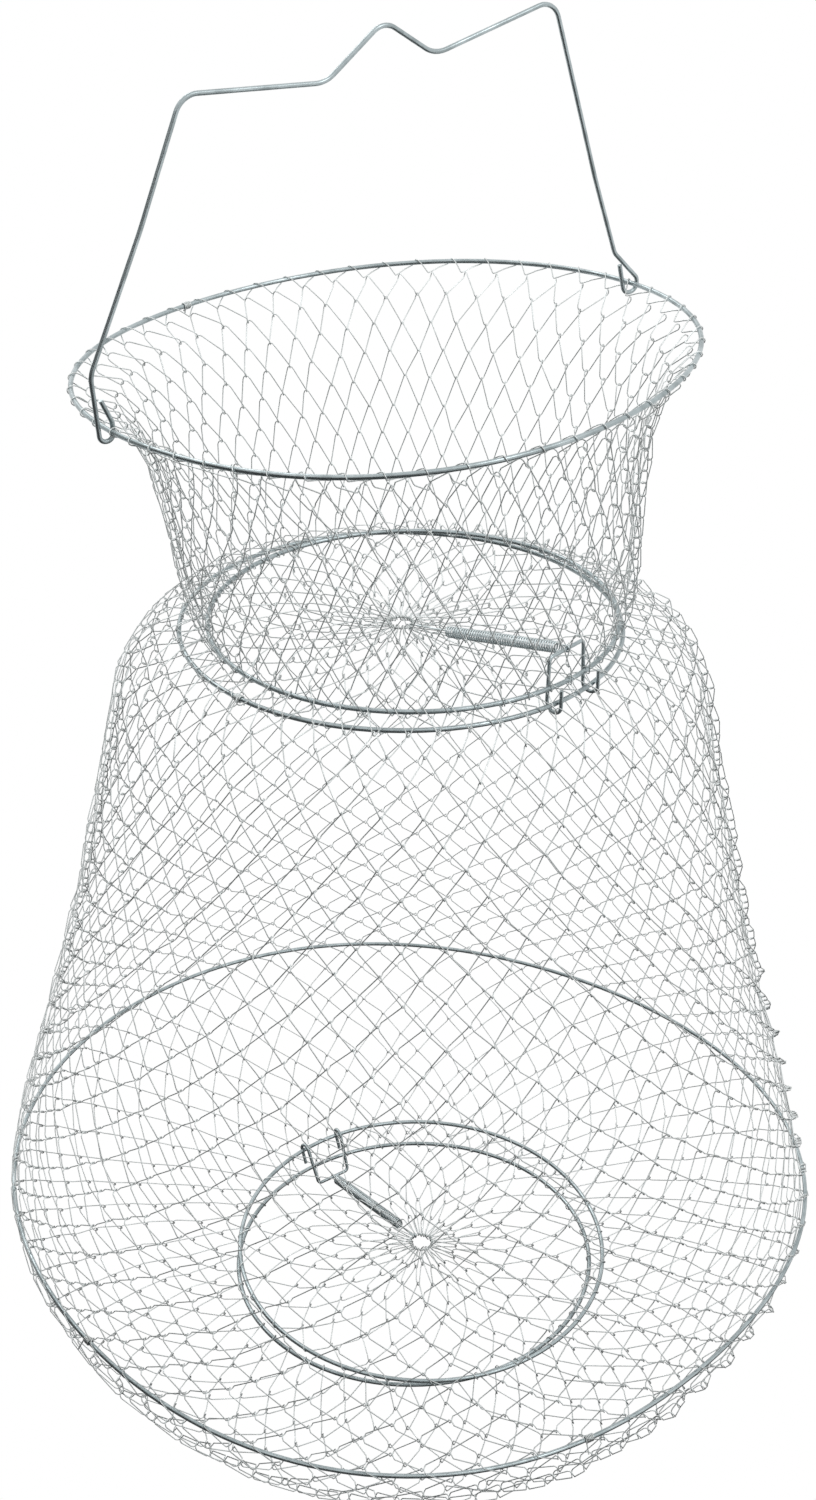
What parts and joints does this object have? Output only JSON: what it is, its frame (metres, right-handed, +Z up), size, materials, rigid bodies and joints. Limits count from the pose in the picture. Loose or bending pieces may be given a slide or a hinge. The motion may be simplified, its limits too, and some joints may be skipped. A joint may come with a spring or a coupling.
{
  "type": "wire keep net",
  "caption": "Folding fish basket of chain-link wire net on round wire hoops, carried by a wire bail, with sprung trap doors in the neck and the base.",
  "frame": {"origin": "under the wire of the bail's centre hump, where a hook or cord carries the basket", "axes": "+Z up, along the hanging basket; -Y towards the front of the pictured basket, +X to its right"},
  "size_m": [0.388, 0.3851, 0.6029],
  "materials": {
    "hoop_wire": "bright zinc plating on drawn steel wire",
    "net_wire": "dull zinc plating on thin drawn wire",
    "spring_wire": "zinc-plated spring wire"
  },
  "bodies": {
    "bail": {"bail": "hoop_wire"},
    "mouth": {"mouth_hoop": "hoop_wire", "mouth_net": "net_wire", "mouth_tie": "net_wire"},
    "neck": {"neck_hoop": "hoop_wire", "neck_bracket": "hoop_wire", "neck_spring": "spring_wire", "body_net": "net_wire"},
    "neck_door": {"neck_door_hoop": "hoop_wire", "neck_door_net": "net_wire", "neck_door_eye": "net_wire", "neck_door_tie": "net_wire"},
    "belly": {"belly_hoop": "hoop_wire", "base_net": "net_wire", "belly_tie_front": "net_wire", "belly_tie_left": "net_wire"},
    "base": {"base_hoop": "hoop_wire", "base_bracket": "hoop_wire", "base_spring": "spring_wire"},
    "base_door": {"base_door_hoop": "hoop_wire", "base_door_net": "net_wire", "base_door_eye": "net_wire"}
  },
  "joints": [
    {"name": "bail_hinge", "type": "hinge", "parent": "bail", "child": "mouth", "pos_m": [-0.0005, 0.00615, -0.12387], "axis": [0.832, 0.5515, 0.0602], "range_deg": [-55, 55]},
    {"name": "neck_slide", "type": "slide", "parent": "mouth", "child": "neck", "axis": [0, 0, 1], "range_m": [0, 0.1], "deforming": ["mouth_net"]},
    {"name": "belly_slide", "type": "slide", "parent": "neck", "child": "belly", "axis": [0, 0, 1], "range_m": [0, 0.285], "deforming": ["body_net"]},
    {"name": "base_slide", "type": "slide", "parent": "belly", "child": "base", "axis": [0, 0, 1], "range_m": [0, 0.045], "deforming": ["base_net"]},
    {"name": "neck_door_hinge", "type": "hinge", "parent": "neck", "child": "neck_door", "pos_m": [0.0748, -0.06175, -0.24196], "axis": [0.6691, 0.7431, 0.0005], "range_deg": [-70, 0], "stiffness_Nm_per_rad": 0.08, "springref_deg": 57.3, "deforming": ["neck_spring"]},
    {"name": "base_door_hinge", "type": "hinge", "parent": "base", "child": "base_door", "pos_m": [-0.03698, 0.07321, -0.5832], "axis": [0.809, 0.5878, -0.005], "range_deg": [-70, 0], "stiffness_Nm_per_rad": 0.08, "springref_deg": 57.3, "deforming": ["base_spring"]}
  ]
}
